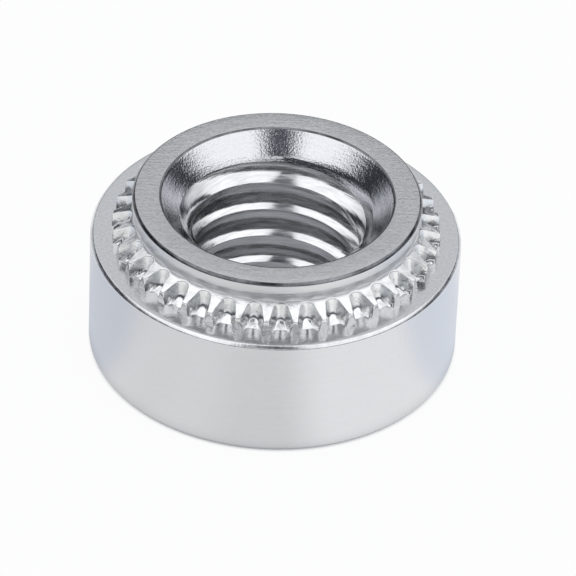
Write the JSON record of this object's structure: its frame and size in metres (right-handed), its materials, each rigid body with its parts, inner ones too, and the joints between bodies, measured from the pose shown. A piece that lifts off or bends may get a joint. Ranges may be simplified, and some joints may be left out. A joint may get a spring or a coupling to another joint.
{
  "type": "self-clinching nut",
  "caption": "Round self-clinching nut: plain cylindrical head, serrated clinch ring, short shank and a countersunk M6 threaded hole.",
  "frame": {"origin": "centre of the head's flat base, on the thread's axis", "axes": "+Z along the thread's axis, from the base towards the shank"},
  "size_m": [0.011, 0.011, 0.0052],
  "materials": {
    "plated_steel": "satin"
  },
  "bodies": {
    "root": {"clinch_nut": "plated_steel"}
  },
  "joints": []
}
